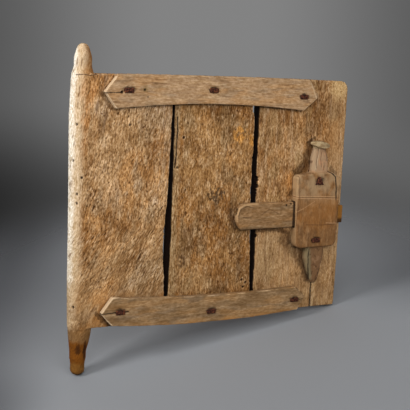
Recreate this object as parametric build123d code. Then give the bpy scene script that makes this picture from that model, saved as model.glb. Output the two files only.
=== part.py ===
"""Carved granary door leaf with integral pivots, battens, iron staples and a wooden sliding-bolt lock.

Frame: +X from the hinge axis towards the latch edge, -Y out of the front face, +Z up the hinge axis.
Origin: on the hinge axis, at the lower end of the bottom pivot's bearing band. Millimetres.
"""
from build123d import *

# ---------------------------------------- hinge stile
stile_radius = 23.0          # rounded hinge side, about the hinge axis
stile_slimmer = [(0.17, 0.9), (0.6, 0.0), (0.92, 0.7)]   # share of the leaf's height, how much slimmer there
stile_flat = 18.0            # flat back of the stile, measured from the hinge axis
stile_cove = 27.0            # width of the cove that runs the stile's back down to the board
stile_cove_bend = 0.7        # share of the cove's width in which it loses the same share of its height
stile_lip = 0.3              # the stile's two ends stand this far proud of the pivots' necks

# ---------------------------------------- the two pivots
bottom_band_radius = 16.0
bottom_band_length = 12.0
bottom_neck_length = 46.0    # from the bearing band up to the leaf's bottom edge
bottom_neck_radius = 22.6
bottom_neck_lean = 2.4       # the neck's root stands this far towards the latch side
bottom_waist_height = 19.0   # lower part of the neck, which swells out faster
bottom_waist_radius = 19.6
bottom_waist_lean = 1.6
bottom_tip_length = 35.5
bottom_nose_radius = 13.7    # where the nose stops tapering
bottom_nose_drop = 15.0
bottom_heel_radius = 12.9    # where it turns into the blunt end
bottom_heel_drop = 28.0
bottom_nose_lean = 0.2       # slope at which the nose leaves the band
top_band_radius = 16.4
top_band_length = 12.0
top_neck_length = 15.0
top_neck_radius = 19.6
top_tip_length = 26.0
top_nose_radius = 12.7
top_nose_rise = 14.0
top_nose_lean = 0.16
pivot_root = 6.0             # how far a pivot's neck is carried up into the stile

# ---------------------------------------- planks
leaf_height = 462.0
leaf_crown = 3.0             # rise of the top edge at mid width
plank_thickness = 25.0
hinge_plank_reach = 161.0    # hinge axis to the plank's right edge
hinge_gap = 10.0             # open gap between hinge plank and middle plank
middle_plank_width = 169.0
latch_gap = 11.0             # open gap between middle plank and latch plank
latch_plank_width = 198.5
latch_corner_radius = 16.0
shake_width = 2.6            # drying split in the latch plank, widest at the bottom edge
shake_height = 112.0
shake_inset = 59.0           # from the latch edge to the split

# ---------------------------------------- hewn edges: steps off a straight line, bottom to top
hinge_plank_edge = [-1, 0, -3.7, 1, 3.8, 5, 7]
middle_plank_left_edge = [-3, -1.5, 0.3, 0.5, 1, 1, 1]
middle_plank_right_edge = [8, 6, 3, -1, 0, -1, -6]
latch_plank_left_edge = [4, 3, 3, -0.5, -2, -2, -4]
latch_plank_right_edge = [-2, 0, 0.5, 0.5, 0, 0, 0]

# ---------------------------------------- battens
batten_thickness = 12.0
batten_point = 22.0          # length of the pointed left end
top_batten_start = 29.5      # hinge axis to the batten's left tip
top_batten_length = 446.0
top_batten_depth = 59.5
top_batten_waist = 10.5      # how much shallower it is at mid length
top_batten_cheek = 30.0      # height of the left tip above the batten's lower corner
top_batten_nose = 34.5       # length of the slanted right end
top_batten_slant = 28.0      # rise of the slanted right end
top_batten_notch = 23.0      # its upper right corner, back from the tip
top_batten_round = 9.0       # radius of the rounded right tip
top_batten_shoulder = 2.0    # the left point's upper corner, below the leaf's top edge
bottom_batten_start = 31.5
bottom_batten_length = 437.0
bottom_batten_depth = 56.0
bottom_batten_waist = 2.0
bottom_batten_drop = 6.5     # how far it hangs below the planks' bottom edge
bottom_batten_sag = 10.5     # its left lower corner stands this much higher than its middle
bottom_batten_cheek = 25.0   # height of the left tip above the batten's lower corner
bottom_batten_hump = 9.0     # its upper left corner stands this much above the upper right one
bottom_batten_crest = 25.0   # its upper right corner, back from the tip
bottom_batten_fall = 21.5    # its right tip, below the upper corner
bottom_batten_heel = 16.0    # its lower right corner, back from the tip
bottom_batten_lift = 7.0     # its lower right corner stands this much higher than its middle

# ---------------------------------------- forged staples
staple_span = 19.0
staple_height = 10.0
staple_leg = 3.0             # thickness of the forged strap
staple_bevel = 1.0
staple_leg_height = 6.0
staple_clinch = 11.0         # length of each leg bent over on the back
top_staple_insets = (45.0, -13.0, 36.0)    # from the left tip, the middle plank's centre, the right tip
top_staple_drops = (26.5, 23.5, 32.5)      # below the leaf's top edge, hinge side first
bottom_staple_insets = (38.0, 1.0, 25.0)
bottom_staple_rises = (29.5, 15.5, 22.5)   # above the leaf's bottom edge
arrow_staple_base = 22.0
arrow_staple_height = 17.5
arrow_staple_head = 4.0      # radius of the rounded end of the arrow-shaped staple
arrow_staple_neck = 6.4      # width where its slanted sides meet the rounded end
leg_clearance = 0.1

# ---------------------------------------- lock case
case_depth = 20.0
case_width = 103.5
case_foot_width = 96.0
case_height = 152.5
case_rise = 129.0            # leaf's bottom edge to the bottom of the case
case_edge_gap = 15.0         # from the case's right side to the latch edge
case_bevel = 3.0
case_corner_cut = 5.0        # small cut corner at the upper left
case_corner_drop = 11.0
case_left_slope = 36.0       # length of the long, flat slope from there up to the neck
case_left_rise = 5.0
case_right_slope = 20.0      # the right shoulder is shorter and steeper
case_right_rise = 12.0
case_foot_radius = 14.0
figure_offset = 2.2          # the figure's middle stands this far right of the case's centre line
neck_height = 48.0
neck_lean = 2.6              # the neck's lower half stands this far right of the figure's middle
neck_top_lean = 1.4
neck_base_width = 39.0
neck_base_depth = 15.0
neck_base_facet = 5.0
neck_bulge_height = 26.0     # the neck keeps its width up to here
neck_bulge_width = 39.0
neck_bulge_depth = 13.0
neck_bulge_facet = 5.0
neck_top_width = 26.0
neck_top_depth = 9.0
neck_top_facet = 2.5
cap_width = 43.0
cap_height = 13.5
cap_depth = 20.0
cap_tip = 4.0                # height of the cap's blunt side tips
cap_relief = 1.0             # the cap's oval plan runs this far past its tips
cap_tilt = 8.5               # the cap hangs down to the right by this angle
tail_length = 75.0
tail_base_width = 44.5
tail_base_depth = 14.0
tail_base_facet = 5.0
tail_bulge_drop = 25.0       # the tail keeps its width down to here
tail_bulge_depth = 13.0
tail_bulge_facet = 5.0
tail_width = 20.0            # where the tail turns into its blunt tip
tail_depth = 8.0
tail_facet = 2.5
tail_tip_width = 12.0
tail_tip_depth = 5.0
tail_tip_facet = 1.6
tail_tip_round = 6.0         # height of the blunt tip
tail_root_lean = 1.0         # the tail's root stands this far right of the figure's middle
tail_lean = 4.0              # the tip stands this far right of the tail's root
case_staple_offset = 1.5     # staples sit this far left of the case's centre line
arrow_staple_below = 25.0    # arrow staple's base, below the top of the case
foot_staple_rise = 15.5

# ---------------------------------------- sliding bolt
bolt_thickness = 11.0
bolt_height = 52.0
bolt_rise = 42.0             # case bottom to the bolt's lower edge
bolt_tail_out = 127.5        # bolt to the left of the case when drawn back
bolt_end_bow = 12.0          # how far the bolt's rounded left end bulges out
bolt_end_radius = 6.0        # its two corners
bolt_bevel = 3.0
tongue_height = 36.0
tongue_thickness = 9.0
tongue_drop = 11.0           # the tongue's top lies this far under the bolt's top
tongue_out = 15.0            # tongue to the right of the case when drawn back
case_right_wall = 10.0
bolt_throw = 40.0
bolt_clearance = 0.4
thumb_dish_radius = 26.0
thumb_dish_depth = 1.6
thumb_dish_from_end = 13.0
thumb_dish_from_top = 15.0

# ---------------------------------------- tumblers, their wells and the key groove
tumbler_count = 3
tumbler_pitch = 12.5
tumbler_from_side = 9.5      # case's left side to the first tumbler's centre
tumbler_width = 5.0
tumbler_depth = 5.4
tumbler_bevel = 1.0
tumbler_head_width = 7.8
tumbler_head_height = 6.0
tumbler_drop = 10.0          # how far a tumbler falls into the thrown bolt
tumbler_lift = 8.0           # how far it can still be raised when it rides on the bolt
tumbler_clearance = 0.4
well_ledge = 20.0            # height of the narrow part of a well, above the bolt channel
well_headroom = 0.9
well_relief = 0.8            # free space in front of a tumbler
socket_clearance = 0.8       # each side of a tumbler in its socket
key_groove_height = 13.0
key_groove_depth = 6.6
key_groove_end = 6.0         # groove runs this far past the last socket
overrun = 1.0                # a cut runs this far past the face that it opens

# ---------------------------------------- places worked out from the sizes above
leaf_bottom = bottom_band_length + bottom_neck_length
leaf_top = leaf_bottom + leaf_height
front = -stile_radius
back = front + plank_thickness
middle_left = hinge_plank_reach + hinge_gap
middle_right = middle_left + middle_plank_width
latch_left = middle_right + latch_gap
latch_edge = latch_left + latch_plank_width
batten_front = front - batten_thickness
case_front = front - case_depth
case_right = latch_edge - case_edge_gap
case_left = case_right - case_width
case_middle = case_right - case_width / 2
figure_middle = case_middle + figure_offset
case_bottom = leaf_bottom + case_rise
case_top = case_bottom + case_height
bolt_bottom = case_bottom + bolt_rise
bolt_top = bolt_bottom + bolt_height
bolt_back = front - bolt_clearance
bolt_front = bolt_back - bolt_thickness
bolt_left = case_left - bolt_tail_out
tongue_end = case_right + tongue_out
tongue_top = bolt_top - tongue_drop
tongue_bottom = tongue_top - tongue_height
channel_end = case_right - case_right_wall
shoulder = channel_end - bolt_throw - bolt_clearance
tumbler_xs = [case_left + tumbler_from_side + i * tumbler_pitch for i in range(tumbler_count)]


def board(edges, depth):
    """A solid hewn from a closed front outline that lies on one plane, carried back by depth."""
    return extrude(make_face(edges), amount=depth, dir=(0, 1, 0))


def block(x0, x1, y0, y1, z0, z1):
    """A plain rectangular block between two corners."""
    return Pos((x0 + x1) / 2, (y0 + y1) / 2, (z0 + z1) / 2) * Box(x1 - x0, y1 - y0, z1 - z0)


def write(solid, name):
    """One step file for one physical piece."""
    solid.label = name
    export_step(solid, f"parts/{name}.step")


def leaf_blank(depth_front, depth_back):
    """The leaf's silhouette as a prism, which every board of the leaf is trimmed to."""
    left = -2 * stile_radius
    mid = (left + latch_edge) / 2
    turn = latch_corner_radius * (1 - 2 ** -0.5)
    corner_x = latch_edge - latch_corner_radius
    corner_z = leaf_top - latch_corner_radius
    y = depth_front
    edges = [
        Line((left, y, leaf_bottom), (latch_edge, y, leaf_bottom)),
        Line((latch_edge, y, leaf_bottom), (latch_edge, y, corner_z)),
        ThreePointArc((latch_edge, y, corner_z), (latch_edge - turn, y, leaf_top - turn),
                      (corner_x, y, leaf_top)),
        ThreePointArc((corner_x, y, leaf_top), (mid, y, leaf_top + leaf_crown), (left, y, leaf_top)),
        Line((left, y, leaf_top), (left, y, leaf_bottom)),
    ]
    return board(edges, depth_back - depth_front)


def hewn_edge(x, wander):
    """A board's long edge: a smooth line up the leaf that wanders from x by the given steps."""
    low = leaf_bottom - leaf_crown
    high = leaf_top + 2 * leaf_crown
    step = (high - low) / (len(wander) - 1)
    return Spline([(x + off, front, low + i * step) for i, off in enumerate(wander)])


def plank(left_x, left_wander, right_x, right_wander):
    """A plank between two hewn edges, trimmed to the leaf."""
    left = hewn_edge(left_x, left_wander)
    right = hewn_edge(right_x, right_wander)
    edges = [left, right, Line(left @ 0, right @ 0), Line(left @ 1, right @ 1)]
    return board(edges, plank_thickness) & leaf_blank(front, back)


def clinched_staple(x, z, face, back_face):
    """A forged strap driven through from face and bent over outwards on back_face."""
    bridge = block(x - staple_span / 2, x + staple_span / 2, face - staple_leg, face,
                   z - staple_height / 2, z + staple_height / 2)
    staple = chamfer(bridge.faces().sort_by(Axis.Y)[0].edges(), staple_bevel)
    low = z - staple_leg_height / 2
    high = z + staple_leg_height / 2
    for side in (-1, 1):
        outer = x + side * staple_span / 2
        inner = outer - side * staple_leg
        tip = outer + side * staple_clinch
        staple += block(min(inner, outer), max(inner, outer), face, back_face, low, high)
        staple += block(min(inner, tip), max(inner, tip), back_face, back_face + staple_leg, low, high)
    return staple


def staple_slots(x, z, face, back_face):
    """The two slots that a strap staple's legs burst through the wood."""
    half_leg = staple_leg / 2 + leg_clearance
    half_height = staple_leg_height / 2 + leg_clearance
    slots = []
    for side in (-1, 1):
        middle = x + side * (staple_span - staple_leg) / 2
        slots.append(block(middle - half_leg, middle + half_leg, face, back_face,
                           z - half_height, z + half_height))
    return slots


# ---------------------------------------- where the staples go, and the slots they are driven through
top_batten_end = top_batten_start + top_batten_length
bottom_batten_end = bottom_batten_start + bottom_batten_length
plank_middle = (middle_left + middle_right) / 2


def staple_places(row, start, end, insets, zs):
    """Names and places of the three staples of one batten."""
    xs = (start + insets[0], plank_middle + insets[1], end - insets[2])
    names = [f"{row}_staple_{side}" for side in ("hinge_side", "middle", "latch_side")]
    return dict(zip(names, zip(xs, zs)))


batten_staples = staple_places("top", top_batten_start, top_batten_end, top_staple_insets,
                               [leaf_top - drop for drop in top_staple_drops])
batten_staples |= staple_places("bottom", bottom_batten_start, bottom_batten_end, bottom_staple_insets,
                                [leaf_bottom + rise for rise in bottom_staple_rises])
case_staple_x = case_middle - case_staple_offset
foot_staple_z = case_bottom + foot_staple_rise
arrow_base_z = case_top - arrow_staple_below
arrow_head_z = arrow_base_z + arrow_staple_height - arrow_staple_head
arrow_leg_zs = (arrow_base_z + staple_leg, arrow_head_z)

leg_slots = staple_slots(case_staple_x, foot_staple_z, case_front, back)
for staple_x, staple_z in batten_staples.values():
    leg_slots += staple_slots(staple_x, staple_z, batten_front, back)
for leg_z in arrow_leg_zs:
    half_width = staple_leg_height / 2 + leg_clearance
    half_leg = staple_leg / 2 + leg_clearance
    leg_slots.append(block(case_staple_x - half_width, case_staple_x + half_width, case_front, back,
                           leg_z - half_leg, leg_z + half_leg))


# ---------------------------------------- hinge plank, one piece with its stile and pivots
def stile_half(z, reach):
    """Rounded half section of the stile at one height."""
    arc = Pos(0, 0, z) * EllipticalCenterArc((0, 0), reach, stile_radius, start_angle=90, arc_size=180)
    return make_face([arc, Line(arc @ 1, arc @ 0)])


def turned(edges):
    """A round form about the hinge axis from its half profile."""
    return revolve(make_face(edges), axis=Axis.Z)


stile_sections = [stile_half(leaf_bottom, bottom_neck_radius - bottom_neck_lean + stile_lip)]
for share, slimmer in stile_slimmer:
    stile_sections.append(stile_half(leaf_bottom + leaf_height * share, stile_radius - slimmer))
stile_sections.append(stile_half(leaf_top + leaf_crown, top_neck_radius + stile_lip))
rounded_side = loft(stile_sections)

cove_end = stile_flat + stile_cove
cove_bend_x = cove_end - stile_cove * stile_cove_bend
cove_bend_y = back + (stile_radius - back) * (1 - stile_cove_bend)
stile_back = extrude(make_face([
    Line((0, front, leaf_bottom), (cove_end, front, leaf_bottom)),
    Line((cove_end, front, leaf_bottom), (cove_end, back, leaf_bottom)),
    ThreePointArc((cove_end, back, leaf_bottom), (cove_bend_x, cove_bend_y, leaf_bottom),
                  (stile_flat, stile_radius, leaf_bottom)),
    Line((stile_flat, stile_radius, leaf_bottom), (0, stile_radius, leaf_bottom)),
    Line((0, stile_radius, leaf_bottom), (0, front, leaf_bottom)),
]), amount=leaf_height + leaf_crown, dir=(0, 0, 1))
hinge_board = plank(cove_end / 2, [0, 0], hinge_plank_reach, hinge_plank_edge)

bottom_neck = loft([
    Pos(0, 0, bottom_band_length) * Circle(bottom_band_radius),
    Pos(bottom_waist_lean, 0, bottom_band_length + bottom_waist_height) * Circle(bottom_waist_radius),
    Pos(bottom_neck_lean, 0, leaf_bottom) * Circle(bottom_neck_radius),
])
bottom_root = Pos(bottom_neck_lean, 0, leaf_bottom + pivot_root / 2) \
    * Cylinder(bottom_neck_radius, pivot_root)
bottom_pivot = turned([
    Line((0, 0, bottom_band_length), (bottom_band_radius, 0, bottom_band_length)),
    Line((bottom_band_radius, 0, bottom_band_length), (bottom_band_radius, 0, 0)),
    Spline([(bottom_band_radius, 0, 0), (bottom_nose_radius, 0, -bottom_nose_drop),
            (bottom_heel_radius, 0, -bottom_heel_drop), (0, 0, -bottom_tip_length)],
           tangents=[(-bottom_nose_lean, 0, -1), (-1, 0, 0)]),
    Line((0, 0, -bottom_tip_length), (0, 0, bottom_band_length)),
])

top_root = leaf_top - pivot_root
top_band_start = leaf_top + top_neck_length
top_band_end = top_band_start + top_band_length
top_tip = top_band_end + top_tip_length
top_pivot = turned([
    Line((0, 0, top_root), (top_neck_radius, 0, top_root)),
    Line((top_neck_radius, 0, top_root), (top_neck_radius, 0, leaf_top)),
    Spline([(top_neck_radius, 0, leaf_top), (top_band_radius, 0, top_band_start)],
           tangents=[(0, 0, 1), (0, 0, 1)]),
    Line((top_band_radius, 0, top_band_start), (top_band_radius, 0, top_band_end)),
    Spline([(top_band_radius, 0, top_band_end), (top_nose_radius, 0, top_band_end + top_nose_rise),
            (0, 0, top_tip)], tangents=[(-top_nose_lean, 0, 1), (-1, 0, 0)]),
    Line((0, 0, top_tip), (0, 0, top_root)),
])

stile = (rounded_side + stile_back) & leaf_blank(front, stile_radius)
hinge_plank = stile + hinge_board + bottom_root + bottom_neck + bottom_pivot + top_pivot
hinge_plank -= leg_slots
write(hinge_plank, "hinge_plank")

# ---------------------------------------- middle plank
middle_plank = plank(middle_left, middle_plank_left_edge, middle_right, middle_plank_right_edge)
middle_plank -= leg_slots
write(middle_plank, "middle_plank")

# ---------------------------------------- latch plank with its drying split
latch_plank = plank(latch_left, latch_plank_left_edge, latch_edge, latch_plank_right_edge)
shake_x = latch_edge - shake_inset
latch_plank -= board(Polyline((shake_x - shake_width / 2, front, leaf_bottom),
                              (shake_x + shake_width / 2, front, leaf_bottom),
                              (shake_x - shake_width, front, leaf_bottom + shake_height),
                              close=True), plank_thickness)
latch_plank -= leg_slots
write(latch_plank, "latch_plank")


# ---------------------------------------- battens
def top_batten_outline(y):
    """Pointed at the left, waisted along its lower edge, slanted at the right; its top is the leaf's."""
    low = leaf_top - top_batten_depth
    high = leaf_top + 2 * leaf_crown
    left = top_batten_start + batten_point
    right = top_batten_end - top_batten_nose
    notch = top_batten_end - top_batten_notch
    middle = (top_batten_start + top_batten_end) / 2
    return [
        Polyline((right, y, low), (top_batten_end, y, low + top_batten_slant), (notch, y, leaf_top),
                 (notch, y, high), (left, y, high), (left, y, leaf_top - top_batten_shoulder),
                 (top_batten_start, y, low + top_batten_cheek), (left, y, low)),
        ThreePointArc((left, y, low), (middle, y, low + top_batten_waist), (right, y, low)),
    ]


def bottom_batten_outline(y):
    """Pointed at both ends, waisted along its upper edge and bowed down in the middle."""
    low = leaf_bottom - bottom_batten_drop
    high = low + bottom_batten_depth
    left = bottom_batten_start + batten_point
    left_low = low + bottom_batten_sag
    left_high = high + bottom_batten_hump
    right_crest = bottom_batten_end - bottom_batten_crest
    right_heel = bottom_batten_end - bottom_batten_heel
    right_low = low + bottom_batten_lift
    middle = (bottom_batten_start + bottom_batten_end) / 2
    return [
        Polyline((left, y, left_low), (bottom_batten_start, y, left_low + bottom_batten_cheek),
                 (left, y, left_high)),
        ThreePointArc((left, y, left_high), (middle, y, high - bottom_batten_waist), (right_crest, y, high)),
        Polyline((right_crest, y, high), (bottom_batten_end, y, high - bottom_batten_fall),
                 (right_heel, y, right_low)),
        ThreePointArc((right_heel, y, right_low), (middle, y, low), (left, y, left_low)),
    ]


top_batten = board(top_batten_outline(batten_front), batten_thickness)
right_tip = top_batten.edges().filter_by(Axis.Y).sort_by(Axis.X)[-1]
top_batten = fillet(right_tip, top_batten_round) & leaf_blank(batten_front, front)
top_batten -= leg_slots
write(top_batten, "top_batten")

bottom_batten = board(bottom_batten_outline(batten_front), batten_thickness)
bottom_batten -= leg_slots
write(bottom_batten, "bottom_batten")

# ---------------------------------------- iron staples through the battens
for name, (staple_x, staple_z) in batten_staples.items():
    write(clinched_staple(staple_x, staple_z, batten_front, back), name)

# ---------------------------------------- iron staples through the lock case
write(clinched_staple(case_staple_x, foot_staple_z, case_front, back), "lock_staple_lower")

arrow_front = case_front - staple_leg
half_base = arrow_staple_base / 2
half_neck = arrow_staple_neck / 2
arrow = board(Polyline((case_staple_x - half_base, arrow_front, arrow_base_z),
                       (case_staple_x + half_base, arrow_front, arrow_base_z),
                       (case_staple_x + half_neck, arrow_front, arrow_head_z),
                       (case_staple_x - half_neck, arrow_front, arrow_head_z),
                       close=True), staple_leg)
head_disc = Cylinder(arrow_staple_head, staple_leg)
arrow += Pos(case_staple_x, case_front - staple_leg / 2, arrow_head_z) * Rot(90, 0, 0) * head_disc
leg_left = case_staple_x - staple_leg_height / 2
leg_right = case_staple_x + staple_leg_height / 2
for leg_z, side in zip(arrow_leg_zs, (-1, 1)):
    inner = leg_z - side * staple_leg / 2
    tip = inner + side * (staple_leg + staple_clinch)
    arrow += block(leg_left, leg_right, case_front, back, leg_z - staple_leg / 2, leg_z + staple_leg / 2)
    arrow += block(leg_left, leg_right, back, back + staple_leg, min(inner, tip), max(inner, tip))
write(arrow, "lock_staple_upper")


# ---------------------------------------- lock case: cap, neck, body and tail in one piece
def faceted(width, depth, facet, z, lean):
    """Section of the neck or tail: a rectangle against the plank, with its two front corners cut off."""
    left = figure_middle + lean - width / 2
    right = figure_middle + lean + width / 2
    y = front - depth
    return make_face(Polyline((left, front, z), (left, y + facet, z), (left + facet, y, z),
                              (right - facet, y, z), (right, y + facet, z), (right, front, z), close=True))


def cap_outline(z, y):
    """Front outline of the cap: two bows that meet in blunt side tips."""
    left = figure_middle - cap_width / 2
    right = figure_middle + cap_width / 2
    low = z - cap_height / 2
    high = z + cap_height / 2
    tip_low = z - cap_tip / 2
    tip_high = z + cap_tip / 2
    return [
        ThreePointArc((left, y, tip_high), (figure_middle, y, high), (right, y, tip_high)),
        Line((right, y, tip_high), (right, y, tip_low)),
        ThreePointArc((right, y, tip_low), (figure_middle, y, low), (left, y, tip_low)),
        Line((left, y, tip_low), (left, y, tip_high)),
    ]


foot_half = case_foot_width / 2
corner_x = case_left + case_corner_cut
body_face = make_face(Polyline(
    (case_middle - foot_half, case_front, case_bottom),
    (case_middle + foot_half, case_front, case_bottom),
    (case_right, case_front, case_top - case_right_rise),
    (case_right - case_right_slope, case_front, case_top),
    (corner_x + case_left_slope, case_front, case_top),
    (corner_x, case_front, case_top - case_left_rise),
    (case_left, case_front, case_top - case_corner_drop),
    close=True))
body_face = fillet(body_face.vertices().group_by(Axis.Z)[0], case_foot_radius)
body = extrude(body_face, amount=case_depth, dir=(0, 1, 0))
body = chamfer(body.faces().sort_by(Axis.Y)[0].edges(), case_bevel)

neck_root = case_top - case_bevel
neck_top = case_top + neck_height
neck = loft([faceted(neck_base_width, neck_base_depth, neck_base_facet, neck_root, neck_lean),
             faceted(neck_bulge_width, neck_bulge_depth, neck_bulge_facet,
                     case_top + neck_bulge_height, neck_lean),
             faceted(neck_top_width, neck_top_depth, neck_top_facet, neck_top, neck_top_lean)], ruled=True)
cap_z = neck_top + cap_height / 2
cap = board(cap_outline(cap_z, front - cap_depth), cap_depth)
cap_plan = Ellipse(cap_width / 2 + cap_relief, cap_depth / 2)
cap &= extrude(Pos(figure_middle, front - cap_depth / 2, cap_z) * cap_plan, amount=cap_height, both=True)
cap = cap.rotate(Axis((figure_middle, front, cap_z), (0, 1, 0)), cap_tilt)
stub_middle = figure_middle + neck_top_lean
cap_stub = block(stub_middle - neck_top_width / 2, stub_middle + neck_top_width / 2,
                 front - neck_top_depth, front, neck_top, cap_z)
tail_bottom = case_bottom - tail_length
tip_lean = tail_root_lean + tail_lean
tail = loft([faceted(tail_base_width, tail_base_depth, tail_base_facet, case_bottom, tail_root_lean),
             faceted(tail_base_width, tail_bulge_depth, tail_bulge_facet,
                     case_bottom - tail_bulge_drop, tail_root_lean),
             faceted(tail_width, tail_depth, tail_facet, tail_bottom + tail_tip_round, tip_lean),
             faceted(tail_tip_width, tail_tip_depth, tail_tip_facet, tail_bottom, tip_lean)], ruled=True)

lock_case = body + neck + cap + cap_stub + tail
lock_case -= block(case_left - overrun, channel_end, bolt_front - bolt_clearance, front,
                   bolt_bottom - bolt_clearance, bolt_top + bolt_clearance)
lock_case -= block(channel_end, case_right + overrun, bolt_back - tongue_thickness - bolt_clearance, front,
                   tongue_bottom - bolt_clearance, tongue_top + bolt_clearance)

tumbler_foot = bolt_top + bolt_clearance
ledge_z = tumbler_foot + well_ledge
head_rest_z = ledge_z + tumbler_drop
well_top = head_rest_z + tumbler_head_height + tumbler_lift + well_headroom
well_floor = front - tumbler_depth - well_relief
narrow = tumbler_width / 2 + tumbler_clearance
wide = tumbler_head_width / 2 + tumbler_clearance
for x in tumbler_xs:
    lock_case -= block(x - narrow, x + narrow, well_floor, front, bolt_top, ledge_z)
    lock_case -= block(x - wide, x + wide, well_floor, front, ledge_z, well_top)
lock_case -= leg_slots
write(lock_case, "lock_case")

# ---------------------------------------- tumblers, riding on the drawn-back bolt
tumbler_back = front - tumbler_clearance
tumbler_front = tumbler_back - tumbler_depth
for i, x in enumerate(tumbler_xs, start=1):
    shank = block(x - tumbler_width / 2, x + tumbler_width / 2, tumbler_front, tumbler_back,
                  tumbler_foot, head_rest_z)
    shank = chamfer(shank.faces().sort_by(Axis.Z)[0].edges(), tumbler_bevel)
    head = block(x - tumbler_head_width / 2, x + tumbler_head_width / 2, tumbler_front, tumbler_back,
                 head_rest_z, head_rest_z + tumbler_head_height)
    write(shank + head, f"tumbler_{i}")

# ---------------------------------------- sliding bolt with tongue, thumb dish, sockets and key groove
bolt_end = bolt_left + bolt_end_bow
bolt_face = make_face([
    ThreePointArc((bolt_end, bolt_front, bolt_top), (bolt_left, bolt_front, bolt_bottom + bolt_height / 2),
                  (bolt_end, bolt_front, bolt_bottom)),
    Polyline((bolt_end, bolt_front, bolt_bottom), (shoulder, bolt_front, bolt_bottom),
             (shoulder, bolt_front, bolt_top), (bolt_end, bolt_front, bolt_top)),
])
bolt_face = fillet(bolt_face.vertices().sort_by(Axis.X)[:2], bolt_end_radius)
bolt = extrude(bolt_face, amount=bolt_thickness, dir=(0, 1, 0))
bolt = chamfer(bolt.faces().sort_by(Axis.Y)[0].edges(), bolt_bevel)
bolt += block(shoulder, tongue_end, bolt_back - tongue_thickness, bolt_back, tongue_bottom, tongue_top)
dish_centre = Pos(bolt_left + thumb_dish_from_end, bolt_front - thumb_dish_radius + thumb_dish_depth,
                  bolt_top - thumb_dish_from_top)
bolt -= dish_centre * Sphere(thumb_dish_radius)

groove_top = bolt_top - tumbler_drop - bolt_clearance
groove_face = bolt_back - key_groove_depth
socket_xs = [x - bolt_throw for x in tumbler_xs]
groove_right = socket_xs[-1] + tumbler_width / 2 + key_groove_end
groove_bottom = groove_top - key_groove_height
bolt -= block(bolt_left - overrun, groove_right, groove_face, front, groove_bottom, groove_top)
socket_half = tumbler_width / 2 + socket_clearance
for x in socket_xs:
    bolt -= block(x - socket_half, x + socket_half, groove_face, front, groove_top, bolt_top + overrun)
write(bolt, "sliding_bolt")
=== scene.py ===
import itertools

import bmesh
import bpy
import numpy as np
from mathutils import Matrix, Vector
from mathutils.bvhtree import BVHTree


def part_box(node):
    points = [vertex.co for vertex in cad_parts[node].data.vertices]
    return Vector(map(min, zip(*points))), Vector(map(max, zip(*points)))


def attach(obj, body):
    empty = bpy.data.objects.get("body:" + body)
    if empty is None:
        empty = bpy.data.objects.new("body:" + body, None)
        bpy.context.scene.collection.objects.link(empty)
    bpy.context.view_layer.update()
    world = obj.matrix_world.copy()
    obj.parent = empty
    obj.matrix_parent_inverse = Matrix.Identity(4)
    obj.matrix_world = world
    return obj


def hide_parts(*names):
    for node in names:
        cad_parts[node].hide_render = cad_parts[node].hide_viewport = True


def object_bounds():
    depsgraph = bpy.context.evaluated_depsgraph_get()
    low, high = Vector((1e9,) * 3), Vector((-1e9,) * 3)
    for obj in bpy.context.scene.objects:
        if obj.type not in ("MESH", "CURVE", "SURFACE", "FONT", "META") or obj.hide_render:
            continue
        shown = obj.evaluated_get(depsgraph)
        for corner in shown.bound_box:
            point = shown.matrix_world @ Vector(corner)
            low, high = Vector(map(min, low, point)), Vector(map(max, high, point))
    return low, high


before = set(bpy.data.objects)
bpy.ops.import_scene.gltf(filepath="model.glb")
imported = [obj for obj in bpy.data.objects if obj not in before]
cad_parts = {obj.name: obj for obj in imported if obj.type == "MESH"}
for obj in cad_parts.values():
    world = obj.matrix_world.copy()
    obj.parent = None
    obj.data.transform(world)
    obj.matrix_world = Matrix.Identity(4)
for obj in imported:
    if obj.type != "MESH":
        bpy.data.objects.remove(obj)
cad_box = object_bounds()


# ---------------------------------------------------------------- hinge plank
# The plank that the door turns on, hewn with an adze from one trunk together with its thick rounded
# stile and its two pivots. Rain and sand have eaten the soft wood out of its face, the stile is bleached
# pale and painted near white on its left side as a highlight from the left lamp, and the bottom pivot is
# stained and polished by its socket, with painted shade under its tip.
mm = 0.001
plank_pitch = 1.65 * mm
least_cut = 0.05 * mm
facing_front = -0.5
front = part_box("middle_plank")[0][1]
leaf_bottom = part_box("latch_plank")[0][2]
leaf_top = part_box("latch_plank")[1][2]
gap_centres = [(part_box(left)[1][0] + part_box(right)[0][0]) / 2
               for left, right in (("hinge_plank", "middle_plank"), ("middle_plank", "latch_plank"))]
gradients = np.random.default_rng(11).normal(size=(2048, 3))
gradient_steps = (73, 179, 283)


def drift(points, size, seed):
    """Smooth noise, about -1 to 1, whose swells have the given size along X, Y and Z."""
    spot = points / np.array(size) + 19.7 * seed
    cell = np.floor(spot).astype(int)
    inside = spot - cell
    ease = inside ** 3 * (inside * (inside * 6 - 15) + 10)
    total = np.zeros(len(points))
    for corner in itertools.product((0, 1), repeat=3):
        at = cell + corner
        slope = gradients[at @ gradient_steps % len(gradients)]
        share = np.prod(np.where(corner, ease, 1 - ease), axis=1)
        total += share * np.sum(slope * (inside - corner), axis=1)
    return total


def step(values, low, high):
    """0 where values are at low, 1 at high, and a smooth turn between."""
    share = np.clip((values - low) / (high - low), 0, 1)
    return share * share * (3 - 2 * share)


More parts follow.
